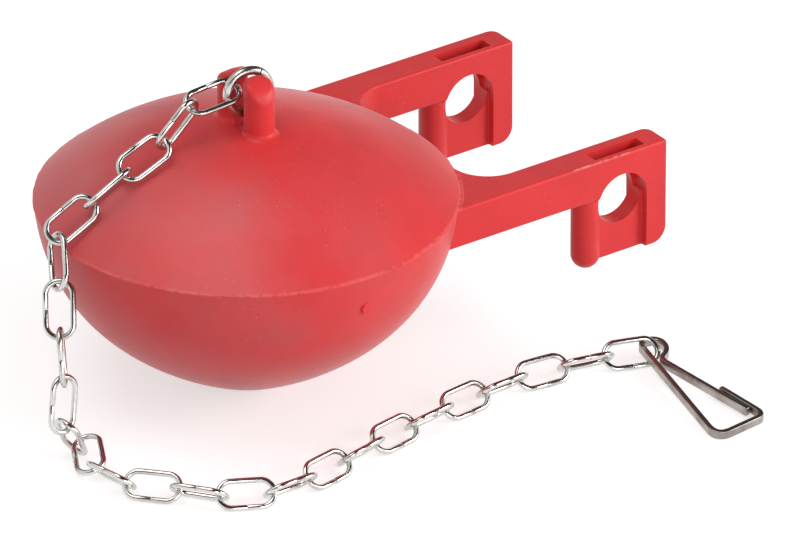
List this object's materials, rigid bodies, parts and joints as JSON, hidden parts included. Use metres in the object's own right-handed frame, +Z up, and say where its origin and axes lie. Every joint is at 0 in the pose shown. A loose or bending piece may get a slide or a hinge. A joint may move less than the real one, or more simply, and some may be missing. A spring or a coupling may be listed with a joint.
{
  "type": "toilet flapper",
  "caption": "Rubber flush valve flapper: domed hollow bowl on two slotted arms, with a pull ring on a lug, a length of bent wire chain and a spring snap hook.",
  "frame": {"origin": "middle of the whole assembly's footprint, on the surface that it lies on", "axes": "+X along the two arms, away from the bowl; +Z up, along the axis of the dome and bowl; the hook lies on the -Y side"},
  "size_m": [0.1296, 0.113, 0.0651],
  "materials": {
    "rubber": "satin",
    "ring_wire": "satin",
    "chain_wire": "bright nickel plate",
    "hook_strip": "satin"
  },
  "bodies": {
    "root": {"flapper_body": "rubber", "lug_ring": "ring_wire", "chain_link_01": "chain_wire", "chain_link_02": "chain_wire", "chain_link_03": "chain_wire", "chain_link_04": "chain_wire", "chain_link_05": "chain_wire", "chain_link_06": "chain_wire", "chain_link_07": "chain_wire", "chain_link_08": "chain_wire", "chain_link_09": "chain_wire", "chain_link_10": "chain_wire", "chain_link_11": "chain_wire", "chain_link_12": "chain_wire", "chain_link_13": "chain_wire", "chain_link_14": "chain_wire", "chain_link_15": "chain_wire", "chain_link_16": "chain_wire", "chain_link_17": "chain_wire", "chain_link_18": "chain_wire", "chain_link_19": "chain_wire", "chain_link_20": "chain_wire", "chain_link_21": "chain_wire", "chain_link_22": "chain_wire", "chain_link_23": "chain_wire", "chain_link_24": "chain_wire", "chain_link_25": "chain_wire", "snap_hook": "hook_strip"}
  },
  "joints": []
}
